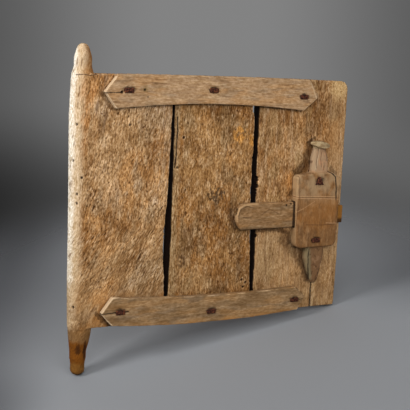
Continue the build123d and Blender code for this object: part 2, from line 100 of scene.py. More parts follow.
def worked_copy(name, node, pitch):
    """A copy of a CAD node whose skin is closed and evenly divided, so that it can be worked."""
    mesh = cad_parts[node].data.copy()
    skin = bmesh.new()
    skin.from_mesh(mesh)
    bmesh.ops.remove_doubles(skin, verts=skin.verts, dist=0.001 * mm)
    skin.to_mesh(mesh)
    skin.free()
    piece = bpy.data.objects.new(name, mesh)
    bpy.context.collection.objects.link(piece)
    remesh = piece.modifiers.new("skin", "REMESH")
    remesh.mode = "VOXEL"
    remesh.voxel_size = pitch
    seen = bpy.context.evaluated_depsgraph_get()
    piece.data = bpy.data.meshes.new_from_object(piece.evaluated_get(seen))
    piece.data.name = name
    piece.modifiers.clear()
    return piece


class Skin:
    """The points of a piece: how deep each is cut, how much dirt and painted shade it carries, and how
    worn smooth it is (0 to 1).
    """

    def __init__(self, piece):
        self.piece = piece
        self.points, self.normals = self.read()
        self.depth = np.zeros(len(self.points))
        self.dirt_and_shade = np.zeros(len(self.points))
        self.worn = np.zeros(len(self.points))

    def read(self):
        count = len(self.piece.data.vertices)
        points = np.empty(count * 3)
        normals = np.empty(count * 3)
        self.piece.data.vertices.foreach_get("co", points)
        self.piece.data.vertices.foreach_get("normal", normals)
        return points.reshape(count, 3), normals.reshape(count, 3)

    def soften(self, values, rounds):
        """Values of the points, each mixed with its neighbours' that many times."""
        ends = np.empty(len(self.piece.data.edges) * 2, dtype=np.int32)
        self.piece.data.edges.foreach_get("vertices", ends)
        a, b = ends.reshape(-1, 2).T
        count = len(values)
        links = np.bincount(ends, minlength=count)[:, None]
        for _ in range(rounds):
            sums = [np.bincount(a, values[b, k], count) + np.bincount(b, values[a, k], count)
                    for k in range(3)]
            values = np.stack(sums, axis=1) / links
        return values

    def dent(self, x, z, radius, deep):
        """A small hole in the front at (x, z), such as an insect's, painted dark inside as shade."""
        search = 2 * mm
        near = np.hypot(self.points[:, 0] - x, self.points[:, 2] - z) < search
        middle = self.points[near][np.argmin(self.points[near, 1])]
        far = np.linalg.norm(self.points - middle, axis=1)
        inside = 1 - step(far, 0.5 * radius, 1.3 * radius)
        self.depth += deep * inside
        self.dirt_and_shade = np.maximum(self.dirt_and_shade, inside)

    def crack(self, start, end, width, deep):
        """A split in the front along a straight line between two places (x, z), painted dark inside as
        shade.
        """
        run = np.subtract(end, start)
        place = self.points[:, [0, 2]] - start
        share = np.clip(place @ run / (run @ run), 0, 1)
        far = np.linalg.norm(place - share[:, None] * run, axis=1)
        inside = (1 - step(far, 0.2 * width, width)) * (self.normals[:, 1] < facing_front)
        self.depth += deep * inside
        self.dirt_and_shade = np.maximum(self.dirt_and_shade, inside)

    def leave(self, least):
        """Cuts every point inwards by its depth; stores its dirt and painted shade, its wear and how far
        it stands out.
        """
        mesh = self.piece.data
        self.points -= self.normals * np.maximum(self.depth, least)[:, None]
        mesh.vertices.foreach_set("co", self.points.ravel())
        mesh.update()
        points, normals = self.read()
        rise = np.sum((points - self.soften(points, 2)) * normals, axis=1) / mm
        for name, values in (("rise", rise), ("dirt_and_shade", self.dirt_and_shade), ("worn", self.worn)):
            mesh.attributes.new(name, "FLOAT", "POINT").data.foreach_set("value", values)
        mesh.shade_smooth()


def nibble(skin, side, deep, seed, chips=()):
    """Uneven bites and chips (z, high, deep) out of a board's right (1) or left (-1) long edge."""
    row_height = 2 * mm
    rows = np.round(skin.points[:, 2] / row_height).astype(int)
    rows -= rows.min()
    line = np.full(rows.max() + 1, -np.inf)
    np.maximum.at(line, rows, side * skin.points[:, 0])
    along = skin.points * (0.4, 0.7, 1)
    bites = np.clip(drift(along, (20 * mm, 12 * mm, 26 * mm), seed) + 0.1, 0, 1)
    bites += 0.6 * np.clip(drift(along, (20 * mm, 9 * mm, 7 * mm), seed + 1), 0, 1)
    bites *= deep
    for z, high, cut in chips:
        rough = 1 + 1.1 * drift(along, (20 * mm, 9 * mm, 3.6 * mm), seed + 2)
        off = np.abs(skin.points[:, 2] - z * mm)
        bites += cut * mm * rough * (1 - step(off, 0.2 * high * mm, high * mm))
    near = 1 - step(np.abs(skin.points[:, 0] - side * line[rows]), 0, 14 * mm)
    near *= 1 - step(skin.points[:, 1], front + 5 * mm, front + 15 * mm)
    skin.points[:, 0] -= side * bites * near


def paint_contact_shade(skin, nodes):
    """Painted contact shade on the front round the pieces that lie on it, darkest just below and to their
    right.
    """
    reach = 6 * mm
    for node in nodes:
        low, high = (np.array(corner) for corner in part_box(node))
        inside = (skin.points > low - reach) & (skin.points < high + reach)
        near = np.flatnonzero(inside.all(axis=1) & (skin.normals[:, 1] < -0.3))
        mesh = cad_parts[node].data
        tree = BVHTree.FromPolygons([v.co for v in mesh.vertices], [p.vertices for p in mesh.polygons])
        places = [tree.find_nearest(point)[0] for point in skin.points[near].tolist()]
        off = (skin.points[near] - np.array(places).reshape(-1, 3)) * (1, 0, 1)
        far = np.linalg.norm(off, axis=1) + 0.01 * mm
        below = np.maximum(step(-off[:, 2] / far, -0.2, 0.6), step(off[:, 0] / far, 0.2, 0.9))
        ragged = 0.75 + 0.7 * drift(skin.points[near], (13 * mm, 13 * mm, 9 * mm), 6)
        dirt_and_shade = (1 - step(far, 0.8 * mm, 4.6 * mm)) * (0.15 + 0.85 * below) * ragged
        skin.dirt_and_shade[near] = np.maximum(skin.dirt_and_shade[near], np.clip(0.85 * dirt_and_shade, 0, 0.85))


def weather(skin, lean, deep, seed):
    """How deep rain and sand have eaten a face whose grain leans by lean(z). Adds painted shade on the
    plank sides in the gaps.
    """
    along = skin.points.copy()
    along[:, 0] -= lean(along[:, 2])
    hollows = drift(along, (40 * mm, 60 * mm, 80 * mm), seed)
    blows = drift(along, (14 * mm, 30 * mm, 27 * mm), seed + 1)
    pits = np.clip(drift(along, (6.5 * mm, 9 * mm, 12 * mm), seed + 2), -0.35, 1)
    flecks = drift(along, (3.9 * mm, 6 * mm, 6.5 * mm), seed + 3)
    wild = 0.85 + 0.7 * drift(along, (38 * mm, 60 * mm, 50 * mm), seed + 4)
    # Painted shade on the plank sides inside the gaps.
    for centre in gap_centres:
        beside = 1 - step(np.abs(skin.points[:, 0] - centre), 7 * mm, 11 * mm)
        behind = step(skin.points[:, 1], front + 1 * mm, front + 5 * mm)
        skin.dirt_and_shade += beside * behind * step(np.abs(skin.normals[:, 0]), 0.7, 0.95)
    sheltered = 1 - 0.85 * np.clip(skin.dirt_and_shade, 0, 1)
    eaten = 0.8 + 0.45 * hollows + 0.4 * blows + wild * (0.85 * pits + 0.85 * flecks)
    return deep * sheltered * eaten


class Wire:
    """One socket of a finish. Sums, differences and products of wires and numbers add Math nodes."""

    def __init__(self, tree, socket):
        self.tree = tree
        self.socket = socket

    def node(self, kind, settings, values, out=0):
        """One more node: first its settings, then its sockets, each from a wire or a plain value."""
        made = self.tree.nodes.new("ShaderNode" + kind)
        for name, value in settings.items():
            setattr(made, name, value)
        for place, value in values.items():
            if isinstance(value, Wire):
                self.tree.links.new(value.socket, made.inputs[place])
            else:
                made.inputs[place].default_value = value
        return Wire(self.tree, made.outputs[out])

    def math(self, operation, first, second=0.0):
        return self.node("Math", {"operation": operation}, {0: first, 1: second})

    def vector(self, operation, second, out=0):
        return self.node("VectorMath", {"operation": operation}, {0: self, 1: second}, out)

    def __add__(self, other):
        return self.math("ADD", self, other)

    def __sub__(self, other):
        return self.math("SUBTRACT", self, other)

    def __rsub__(self, other):
        return self.math("SUBTRACT", other, self)

    def __mul__(self, other):
        return self.math("MULTIPLY", self, other)

    def __abs__(self):
        return self.math("ABSOLUTE", self)

    def ease(self, low, high):
        """0 where the wire is at low, 1 at high, and a smooth turn between."""
        return self.node("MapRange", {"interpolation_type": "SMOOTHSTEP"},
                         {"Value": self, "From Min": low, "From Max": high})

    __radd__ = __add__
    __rmul__ = __mul__


def tone(red, green, blue):
    """A colour from its usual 0 to 255 values."""
    parts = [c / 255 for c in (red, green, blue)]
    return tuple(c / 12.92 if c < 0.04045 else ((c + 0.055) / 1.055) ** 2.4 for c in parts) + (1.0,)


def straight(height):
    """The lean of a grain that runs straight up."""
    return height * 0


class Finish:
    """A surface built up in layers over a ground colour. Sizes and places are in metres."""

    def __init__(self, name, ground, lean=straight):
        self.material = bpy.data.materials.new(name)
        self.material.use_nodes = True
        tree = self.material.node_tree
        self.shader = tree.nodes["Principled BSDF"]
        self.shader.inputs["Specular IOR Level"].default_value = 0.15
        self.place = Wire(tree, tree.nodes.new("ShaderNodeTexCoord").outputs["Object"])
        split = tree.nodes.new("ShaderNodeSeparateXYZ")
        tree.links.new(self.place.socket, split.inputs[0])
        self.x, self.y, self.z = (Wire(tree, out) for out in split.outputs)
        self.face = self.y.ease(-5 * mm, -15 * mm)
        self.grain = self.place.node("CombineXYZ", {}, {0: self.x - lean(self.z), 1: self.y, 2: self.z})
        self.rise, self.dirt_and_shade, self.worn = (
            self.place.node("Attribute", {"attribute_name": name}, {}, out="Fac")
            for name in ("rise", "dirt_and_shade", "worn"))
        self.colour = ground

    def noise(self, size, detail=2.0, seed=0.0):
        """Noise from 0 to 1 whose swells have the given size along X, Y and Z, in mm."""
        spot = self.grain.vector("DIVIDE", [s * mm for s in size]).vector("ADD", (seed, 0, 3 * seed))
        return spot.node("TexNoise", {}, {"Vector": spot, "Scale": 1.0, "Detail": detail})

    def patches(self, size, seed, low, high, detail=3.0):
        """Uneven patches of the given size in mm: none where the noise is at low, full where at high."""
        return self.noise(size, detail, seed).ease(low, high)

    def layer(self, colour, mask):
        """Lays a colour over what is there, as strongly as mask says."""
        self.colour = mask.node("Mix", {"data_type": "RGBA"}, {0: mask, 6: self.colour, 7: colour}, out=2)

    def shade(self, amount):
        """Darkens what is there by a factor towards brown, or lightens it towards cream."""
        green = amount.math("POWER", amount, 1.25)
        blue = amount.math("POWER", amount, 1.7)
        grey = amount.node("CombineXYZ", {}, {0: amount, 1: green, 2: blue})
        self.colour = amount.node("Mix", {"data_type": "RGBA", "blend_type": "MULTIPLY"},
                                  {0: 1.0, 6: self.colour, 7: grey}, out=2)

    def spot(self, x, z, wide, high, ragged=0.5):
        """A ragged oval patch on the front, from its centre and half sizes in mm."""
        off = self.place.vector("SUBTRACT", (x * mm, 0, z * mm))
        off = off.vector("MULTIPLY", (1 / (wide * mm), 0, 1 / (high * mm)))
        far = off.vector("LENGTH", (0, 0, 0), out="Value")
        far = far + (self.noise((wide * 0.5, wide, high * 0.5), seed=x * 0.091) - 0.5) * (2 * ragged)
        return far.ease(1.15, 0.45) * self.face

    def line(self, start, end, width):
        """A thin line on the front between two places (x, z) in mm, such as a scribed line or a split."""
        run = ((end[0] - start[0]) * mm, 0, (end[1] - start[1]) * mm)
        off = self.place.vector("SUBTRACT", (start[0] * mm, 0, start[1] * mm))
        off = off.vector("MULTIPLY", (1, 0, 1))
        share = off.vector("DOT_PRODUCT", run, out="Value") * (1 / (run[0] ** 2 + run[2] ** 2))
        share = share.node("Clamp", {}, {0: share})
        foot = share.node("VectorMath", {"operation": "SCALE"}, {0: run, "Scale": share})
        gap = foot.vector("DISTANCE", off, out="Value")
        gap = gap + (self.noise((5, 5, 5), seed=start[0] * 0.077) - 0.5) * (width * mm)
        return gap.ease(0.8 * width * mm, 0.25 * width * mm)

    def trail(self, places, width):
        """Thin lines from place to place."""
        masks = [self.line(start, end, width) for start, end in zip(places, places[1:])]
        whole = masks[0]
        for mask in masks[1:]:
            whole = whole.math("MAXIMUM", whole, mask)
        return whole * self.face

    def done(self, roughness, relief, depth):
        """Closes the finish with its roughness and a fine relief of the given depth."""
        tree = self.material.node_tree
        tree.links.new(self.colour.socket, self.shader.inputs["Base Color"])
        tree.links.new(roughness.socket, self.shader.inputs["Roughness"])
        bump = relief.node("Bump", {}, {"Strength": 1.0, "Distance": depth, "Height": relief})
        tree.links.new(bump.socket, self.shader.inputs["Normal"])
        return self.material


# Near black, used as painted shade in gaps, holes, splits, under pieces and where the bolt enters its
# case, and as the rust stain round the staples.
shade_and_stain_black = tone(26, 13, 6)
crest = tone(214, 178, 136)
pit = tone(72, 38, 8)


def plank_finish(name, lean, ground, warm, grey, eaten):
    """Sun-bleached hewn wood: dark in its pits, pale on its crests, with warm and grey patches."""
    finish = Finish(name, ground, lean)
    finish.layer(warm, finish.patches((58, 60, 95), 1, 0.42, 0.6, 2.0) * 0.75)
    finish.layer(grey, finish.patches((30, 60, 70), 2, 0.5, 0.64, 2.0) * 0.65)
    finish.shade(finish.patches((46, 60, 62), 15, 0.3, 0.7, 2.0) * 0.5 + 0.75)
    finish.shade(finish.patches((22, 40, 30), 16, 0.3, 0.7, 2.0) * 0.36 + 0.82)
    finish.layer(tone(202, 166, 122), finish.patches((10, 30, 19), 12, 0.5, 0.7) * 0.38)
    finish.layer(tone(94, 56, 22), finish.patches((10, 30, 17), 3, 0.47, 0.3) * 0.45)
    wild = eaten * (finish.patches((26, 40, 34), 13, 0.36, 0.6, 2.0) * 0.6 + 0.4)
    wild = wild * (1 - finish.worn * 0.75)
    fleck = finish.noise((3.0, 8, 6.6), 3.0, seed=4)
    finish.layer(crest, fleck.ease(0.52, 0.74) * wild * 0.42)
    finish.layer(pit, fleck.ease(0.44, 0.29) * wild * 0.9)
    finish.layer(crest, finish.rise.ease(0.04, 0.5) * wild * 0.45)
    finish.layer(pit, finish.rise.ease(-0.1, -0.42) * wild * 0.9)
    return finish


def plank_close(finish):
    """Fibres, dirt and painted shade, a painted darkening towards the bottom, roughness and fine relief
    that all three planks share.
    """
    fibre = finish.noise((1.6, 3, 14), 3.0, seed=5)
    speck = finish.noise((2.0, 4, 4.6), 2.0, seed=7)
    clear = 1 - finish.worn * 0.6
    finish.shade((fibre.ease(0.25, 0.75) * 0.62 + speck.ease(0.25, 0.75) * 0.86 - 0.74) * clear + 1)
    # Painted shade: darker towards the bottom, as the light falls off downwards.
    finish.shade(finish.z.ease(60 * mm, 330 * mm) * 0.13 + 0.89)
    finish.layer(shade_and_stain_black, finish.dirt_and_shade)
    rough = finish.rise.ease(0.6, -0.4) * 0.2 + 0.74
    return finish.done(rough, fibre * 0.5 + speck, 1.2 * mm)


def place_piece(piece, material, body, node):
    """Gives a piece its finish and its body, and hides the CAD node that it stands in for."""
    piece.data.materials.clear()
    piece.data.materials.append(material)
    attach(piece, body)
    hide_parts(node)


def hinge_lean(height):
    """The grain of the hinge plank leans to the right going up, and more so below mid height."""
    below = height - 240 * mm
    return 0.12 * height + 0.165 * (below - abs(below))


stile_plank = worked_copy("plank_with_stile_and_pivots", "hinge_plank", plank_pitch)
skin = Skin(stile_plank)
x, y, z = skin.points.T
rounded = step(x, 6 * mm, -14 * mm)
top_pivot = step(z, leaf_top - 6 * mm, leaf_top + 6 * mm)
bottom_pivot = step(z, leaf_bottom + 6 * mm, leaf_bottom - 8 * mm)
calm = np.maximum(rounded * 0.7, np.maximum(top_pivot, bottom_pivot) * 0.85)
calm = np.maximum(calm, 0.6 * step(z, 150 * mm, 95 * mm))
# Painted contact shade below and to the right of the battens.
paint_contact_shade(skin, ("top_batten", "bottom_batten"))
skin.depth = weather(skin, hinge_lean, 0.95 * mm, 1) * (1 - calm)
skin.depth += calm * mm * (0.5 + 0.5 * drift(skin.points, (16 * mm, 16 * mm, 90 * mm), 5))
skin.worn = calm
for hole in ((-17.5, 432), (-21.5, 366), (-16.8, 99), (-7.2, 337.2), (-15.3, 307.5), (-15, 291.5),
             (83.9, 432.8)):
    skin.dent(hole[0] * mm, hole[1] * mm, 2.4 * mm, 2.5 * mm)
nibble(skin, 1, 0.8 * mm, 7)
skin.leave(least_cut)

finish = plank_finish("hinge_plank_wood", hinge_lean, tone(168, 128, 84), tone(166, 115, 62),
                      tone(150, 120, 86), 1.0)
# Straighter grain beside the right edge, high up.
high_up = finish.z.ease(250 * mm, 330 * mm)
pale_grain = finish.patches((3, 20, 60), 26, 0.42, 0.6)
dark_grain = finish.patches((2.6, 20, 50), 27, 0.54, 0.66)
finish.layer(tone(172, 140, 104), finish.x.ease(128 * mm, 152 * mm) * high_up * pale_grain * 0.6)
finish.layer(tone(110, 80, 56), finish.x.ease(124 * mm, 146 * mm) * high_up * dark_grain * 0.6)
# Orange and dark streaks beside the stile, below the top batten.
edge = finish.x + (finish.noise((14, 20, 60), seed=8) - 0.5) * (26 * mm)
orange = edge.ease(28 * mm, 6 * mm) * finish.z.ease(330 * mm, 440 * mm)
orange = orange * finish.z.ease(520 * mm, 490 * mm)
finish.layer(tone(184, 124, 66), orange * finish.patches((9, 20, 34), 20, 0.4, 0.62) * 0.65)
dark = edge.ease(8 * mm, 20 * mm) * edge.ease(56 * mm, 40 * mm) * finish.z.ease(400 * mm, 440 * mm)
finish.layer(tone(92, 62, 40), finish.patches((7, 20, 40), 18, 0.5, 0.62, 2.0) * dark * 0.6)
# The stile, bleached by the sun, and painted near white on its left side as a highlight from the left
# lamp.
bleached_and_lit = finish.x + (finish.noise((9, 20, 45), seed=9) - 0.5) * (10 * mm)
bleached_and_lit = bleached_and_lit - finish.z.ease(500 * mm, 560 * mm) * (8 * mm)
bleached_and_lit = bleached_and_lit + finish.z.ease(170 * mm, 90 * mm) * (9 * mm)
finish.layer(tone(200, 172, 136), bleached_and_lit.ease(2 * mm, -15 * mm) * 0.9)
# Painted highlight: near white on the stile's left side, where the left lamp strikes it.
finish.layer(tone(236, 222, 200), bleached_and_lit.ease(-15 * mm, -22 * mm) * 0.95)
streaks = finish.patches((4, 10, 26), 19, 0.6, 0.72, 2.0)
finish.layer(tone(120, 88, 58), streaks * bleached_and_lit.ease(-2 * mm, -10 * mm) * 0.7)
# The bottom pivot, stained by its socket from its shoulder down to its tip, with painted shade on the
# underside of its tip.
socket = finish.z + (finish.noise((9, 9, 30), seed=10) - 0.5) * (22 * mm)
finish.layer(tone(120, 84, 44), socket.ease(66 * mm, 48 * mm) * 0.85)
finish.layer(tone(120, 68, 6), socket.ease(38 * mm, 26 * mm) * 0.95)
finish.layer(tone(48, 22, 4), finish.spot(8.5, 16, 4.5, 24, 0.6) * 0.9)
finish.layer(tone(48, 22, 4), finish.spot(-5, 18, 5, 14, 0.7) * 0.75)
finish.layer(tone(118, 80, 32), socket.ease(-6 * mm, -14 * mm) * 0.8)
finish.layer(tone(50, 34, 14), socket.ease(-27 * mm, -33 * mm) * 0.9)
# A thin split at the top pivot's foot, painted dark as shade, and painted shade below the left points of
# the battens.
split = ((-16, 518), (-5, 519), (6, 517.5), (18, 519.5))
finish.layer(tone(70, 44, 24), finish.trail(split, 1.8) * 0.8)
finish.layer(tone(70, 44, 18), finish.trail(((26, 86), (38, 72), (52, 60)), 7) * 0.7)
finish.layer(tone(84, 54, 26), finish.trail(((24, 505), (25, 488), (46, 460)), 5) * 0.6)
place_piece(stile_plank, plank_close(finish), "leaf", "hinge_plank")

# ---------------------------------------------------------------- middle plank
# A split board with two ragged long edges, hewn like the hinge plank and held only by the battens. Its
# upper left arris is waned, the back of its left side slants into the gap, and it has a knot low on its
# left and a dark weathered patch in its middle.


def middle_lean(height):
    """The grain of the middle plank leans a little to the right going up."""
    return 0.02 * height


middle_plank = worked_copy("plank_in_the_middle", "middle_plank", plank_pitch)
skin = Skin(middle_plank)
x, y, z = skin.points.T
wane = 7 * mm * step(z, 290 * mm, 345 * mm) * np.clip((179 * mm - x) / (9 * mm), 0, 1)
skin.points[:, 1] = np.maximum(y, front + wane)
slant = step(y, front + 4 * mm, front + 18 * mm) * (1 - step(abs(z - 205 * mm), 50 * mm, 110 * mm))
slant *= 1 - step(x, gap_centres[0] + 9 * mm, gap_centres[0] + 24 * mm)
skin.points[:, 0] -= 4.2 * mm * slant
# Painted contact shade below and to the right of the battens and the bolt.
paint_contact_shade(skin, ("top_batten", "bottom_batten", "sliding_bolt"))
skin.depth = weather(skin, middle_lean, 0.8 * mm, 21)
for hole in ((191.3, 409.3), (180.3, 353.6), (329, 128), (332.5, 114), (336.5, 122)):
    skin.dent(hole[0] * mm, hole[1] * mm, 2.3 * mm, 2.5 * mm)
nibble(skin, 1, 1.2 * mm, 27, ((372, 8, 2), (306, 12, 1.5), (460, 14, 2)))
nibble(skin, -1, 1.4 * mm, 29)
skin.leave(least_cut)

finish = plank_finish("middle_plank_wood", middle_lean, tone(146, 104, 58), tone(146, 98, 48),
                      tone(128, 99, 64), 0.95)
# The dark patch, two orange patches and the knot, from its rim to its heart.
bruise = finish.spot(263, 298, 24, 17, 0.9) * finish.patches((5, 12, 8), 24, 0.36, 0.56)
finish.layer(tone(56, 38, 22), bruise * 0.85)
for place in ((308, 412, 18, 20), (335, 401, 9, 14)):
    orange = finish.spot(*place, 0.8) * finish.patches((6, 14, 9), 28, 0.34, 0.56)
    finish.layer(tone(200, 138, 64), orange * 0.75)
finish.layer(tone(78, 50, 26), finish.spot(193, 174, 11, 13, 0.35) * 0.85)
finish.layer(tone(172, 132, 86), finish.spot(192, 173, 6.5, 8, 0.35) * 0.85)
finish.layer(tone(84, 54, 28), finish.spot(192, 173, 2.5, 3, 0.3) * 0.8)
# The left edge: painted shade on the wane, pale and straight in its grain beside it, with a dark line at
# the wane's edge.
wane_shade = finish.x.ease(181 * mm, 177 * mm) * finish.z.ease(300 * mm, 340 * mm)
finish.layer(tone(120, 88, 54), wane_shade * 0.75)
pale_strip = finish.x.ease(186 * mm, 178 * mm) * finish.patches((3, 20, 60), 25, 0.3, 0.5)
finish.layer(tone(158, 126, 86), pale_strip * 0.8)
finish.layer(tone(172, 136, 92), finish.spot(222, 132, 46, 26, 0.9) * 0.4)
dark_line = ((177, 446), (178, 420), (176.5, 396), (177, 372), (175, 352))
finish.layer(shade_and_stain_black, finish.trail(dark_line, 1.9) * 0.85)
# Painted shade and old dirt to the left of where the bolt's end rests.
dirt_and_shade_brown = tone(62, 38, 16)
finish.layer(dirt_and_shade_brown, finish.trail(((297, 268), (298, 250), (306, 232)), 8) * 0.65)
place_piece(middle_plank, plank_close(finish), "leaf", "middle_plank")

# ---------------------------------------------------------------- latch plank
# The widest board, which carries the lock. Its upper right corner is rounded and rubbed yellow by hands,
# painted shade and old dirt lie round the lock, and a drying split runs up from its bottom edge to
# behind the lock's tail.
latch_plank = worked_copy("plank_with_the_lock", "latch_plank", plank_pitch)
tail_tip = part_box("lock_case")[0][2]
split_x = 490
skin = Skin(latch_plank)
x, y, z = skin.points.T
rubbed = np.maximum(step(z, 255 * mm, 190 * mm), step(x, 500 * mm, 525 * mm))
skin.worn = 0.75 * np.clip(rubbed * (1 + 0.6 * drift(skin.points, (30 * mm, 60 * mm, 60 * mm), 45)), 0, 1)
# Painted contact shade below and to the right of the battens, the bolt and the lock case.
paint_contact_shade(skin, ("top_batten", "bottom_batten", "sliding_bolt", "lock_case"))
skin.depth = weather(skin, straight, 0.55 * mm, 41) * (1 - 0.5 * skin.worn)
skin.crack((split_x * mm, leaf_bottom), (split_x * mm, tail_tip + 40 * mm), 2.0 * mm, 6 * mm)
nibble(skin, -1, 2.0 * mm, 47, ((330, 14, 2), (314, 26, 3), (297, 5, 1.5), (214, 6, 2)))
nibble(skin, 1, 0.8 * mm, 49)
skin.leave(least_cut)

finish = plank_finish("latch_plank_wood", straight, tone(152, 112, 68), tone(152, 104, 56),
                      tone(140, 108, 68), 0.4)
finish.layer(tone(188, 153, 110), finish.worn * 0.7)
finish.shade(finish.z.ease(470 * mm, 330 * mm) * 0.13 + 0.87)
finish.layer(tone(188, 152, 112), finish.patches((7, 30, 60), 51, 0.5, 0.66) * 0.5)
finish.layer(tone(112, 76, 42), finish.patches((8, 30, 48), 52, 0.5, 0.34) * 0.5)
finish.layer(tone(166, 116, 64), finish.spot(520, 380, 26, 70, 0.8) * 0.5)
finish.layer(tone(188, 150, 108), finish.x.ease(492 * mm, 520 * mm) * finish.z.ease(420 * mm, 320 * mm)
             * finish.z.ease(160 * mm, 200 * mm) * 0.55)
finish.layer(tone(184, 148, 98), finish.spot(386, 262, 30, 40, 0.9) * 0.5)
finish.layer(tone(196, 160, 108), finish.spot(530, 505, 24, 26, 0.5) * 0.7)
finish.shade(1 - finish.patches((4, 14, 7), 53, 0.6, 0.7) * finish.worn * 0.4)
# Painted shade and old dirt round the case, under the bolt, beside the tail and round the neck: line,
# width, strength.
for places, wide, strong in (
        (((470, 396), (464, 376), (458, 350), (440, 340)), 17, 0.75),
        (((427, 330), (427, 296)), 11, 0.5),
        (((352, 225), (400, 225), (428, 216), (430, 196)), 8, 0.7),
        (((420, 204), (436, 190), (459, 166)), 22, 0.5),
        (((460, 180), (464, 150), (478, 118)), 12, 0.75),
        (((520, 345), (531, 334)), 9, 0.5),
        (((478, 407), (462, 398)), 5, 0.6)):
    finish.layer(dirt_and_shade_brown, finish.trail(places, wide) * strong)
finish.layer(tone(182, 120, 56), finish.spot(424, 322, 9, 22, 0.6) * 0.6)
# The split, painted dark as shade inside it, with a painted highlight on its right edge.
finish.layer(tone(196, 164, 122), finish.trail(((split_x + 4, 60), (split_x + 4, 112)), 7) * 0.5)
finish.layer(shade_and_stain_black, finish.trail(((split_x, 58), (split_x, 112), (split_x, 184)), 3.0))
place_piece(latch_plank, plank_close(finish), "leaf", "latch_plank")

# ---------------------------------------------------------------- battens
# Two boards of a finer, smoother wood laid across the front. They were cut with a knife, pointed at the
# ends and rounded along their arrises by use, and are held by iron staples driven through them and the
# planks.
batten_pitch = 1.6 * mm
staple_nodes = sorted(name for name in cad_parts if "staple" in name)


def smooth_work(skin, along, deep, seed):
    """A knife's long flat cuts and some wear in a smoother wood, grained along X (0) or Z (2)."""
    cuts = [16 * mm, 14 * mm, 16 * mm]
    cuts[along] = 90 * mm
    fibres = [4 * mm, 5 * mm, 4 * mm]
    fibres[along] = 30 * mm
    uneven = 0.7 * drift(skin.points, cuts, seed) + 0.4 * drift(skin.points, fibres, seed + 1)
    skin.depth = deep * (0.6 + uneven)


def smooth_finish(name, along, ground, warm, grey, figure):
    """A smoother tan wood with long fibres along X (0) or Z (2) and pale worn arrises."""

    def size(across, length):
        sizes = [across] * 3
        sizes[along] = length
        return sizes

    finish = Finish(name, ground)
    finish.layer(warm, finish.patches(size(18, 70), 1, 0.48, 0.62, 2.0) * 0.75)
    finish.layer(grey, finish.patches(size(12, 50), 2, 0.52, 0.66, 2.0) * 0.7)
    streak = finish.noise(size(4.5, 36), 3.0, seed=3)
    finish.layer(tone(196, 160, 118), streak.ease(0.5, 0.72) * (0.45 * figure))
    finish.layer(tone(96, 66, 40), streak.ease(0.46, 0.26) * (0.55 * figure))
    finish.shade(finish.patches(size(3, 6), 14, 0.25, 0.75) * 0.44 + 0.78)
    rubbed = finish.rise.ease(0.12, 0.6) * finish.patches((14, 14, 14), 17, 0.4, 0.66)
    finish.layer(tone(214, 182, 142), rubbed * 0.65)
    finish.layer(tone(66, 44, 28), finish.rise.ease(-0.1, -0.5) * 0.8)
    finish.fibre = finish.noise(size(1.4, 14), 3.0, seed=5)
    finish.shade(finish.fibre.ease(0.25, 0.75) * 0.3 + 0.85)
    return finish


def staple_dirt(finish, nodes):
    """Black rust stain in the wood round each staple."""
    for node in nodes:
        low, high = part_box(node)
        middle = [(a + b) / 2 / mm for a, b in zip(low, high)]
        finish.layer(shade_and_stain_black, finish.spot(middle[0] + 0.5, middle[2] + 1.5, 12.5, 7.5, 0.5) * 0.85)


def smooth_close(finish):
    """Dirt and painted shade, roughness and fine relief of the smoother woods."""
    finish.layer(shade_and_stain_black, finish.dirt_and_shade)
    rough = finish.rise.ease(0.6, -0.4) * 0.25 + 0.6
    return finish.done(rough, finish.fibre, 0.7 * mm)


batten = worked_copy("batten_top", "top_batten", batten_pitch)
skin = Skin(batten)
smooth_work(skin, 0, 0.7 * mm, 61)
for x, z, radius, deep in ((105.7, 496.0, 2.4, 1.2), (113.1, 482.8, 1.6, 0.8), (62.5, 491.5, 3.0, 3)):
    skin.dent(x * mm, z * mm, radius * mm, deep * mm)
skin.leave(least_cut)
finish = smooth_finish("top_batten_wood", 0, tone(166, 132, 96), tone(170, 128, 84), tone(148, 120, 90),
                       1.0)
finish.layer(tone(132, 104, 60), finish.spot(105.7, 496, 7, 6, 0.4) * 0.6)
# Pale worn arrises at both points, and a split in the left one, painted dark as shade.
finish.layer(tone(216, 188, 152), finish.trail(((52, 461), (30, 490.5), (51, 517)), 2.0) * 0.8)
finish.layer(tone(206, 176, 138), finish.trail(((441, 461), (469, 484), (453, 518)), 2.4) * 0.5)
finish.layer(shade_and_stain_black, finish.trail(((30, 488), (46, 489), (62, 490)), 1.8) * 0.85)
staple_dirt(finish, [node for node in staple_nodes if node.startswith("top")])
place_piece(batten, smooth_close(finish), "leaf", "top_batten")

batten = worked_copy("batten_bottom", "bottom_batten", batten_pitch)
skin = Skin(batten)
smooth_work(skin, 0, 0.7 * mm, 71)
skin.leave(least_cut)
finish = smooth_finish("bottom_batten_wood", 0, tone(136, 106, 72), tone(148, 110, 68), tone(118, 94, 68),
                       0.55)
finish.shade(finish.patches((52, 20, 16), 23, 0.34, 0.66, 2.0) * 0.26 + 0.86)
lower_edge = finish.z.ease(66 * mm, 52 * mm) * finish.patches((40, 40, 20), 22, 0.4, 0.6, 2.0)
finish.layer(tone(170, 118, 60), lower_edge * 0.6)
# A pale worn arris at the left point, and a split in it, painted dark as shade.
left_point = ((54, 63), (32, 87), (54, 116), (70, 116.5))
finish.layer(tone(212, 184, 148), finish.trail(left_point, 2.2) * 0.75)
finish.layer(shade_and_stain_black, finish.trail(((32, 87), (60, 88), (85, 88)), 2.0) * 0.85)
staple_dirt(finish, [node for node in staple_nodes if node.startswith("bottom")])
place_piece(batten, smooth_close(finish), "leaf", "bottom_batten")

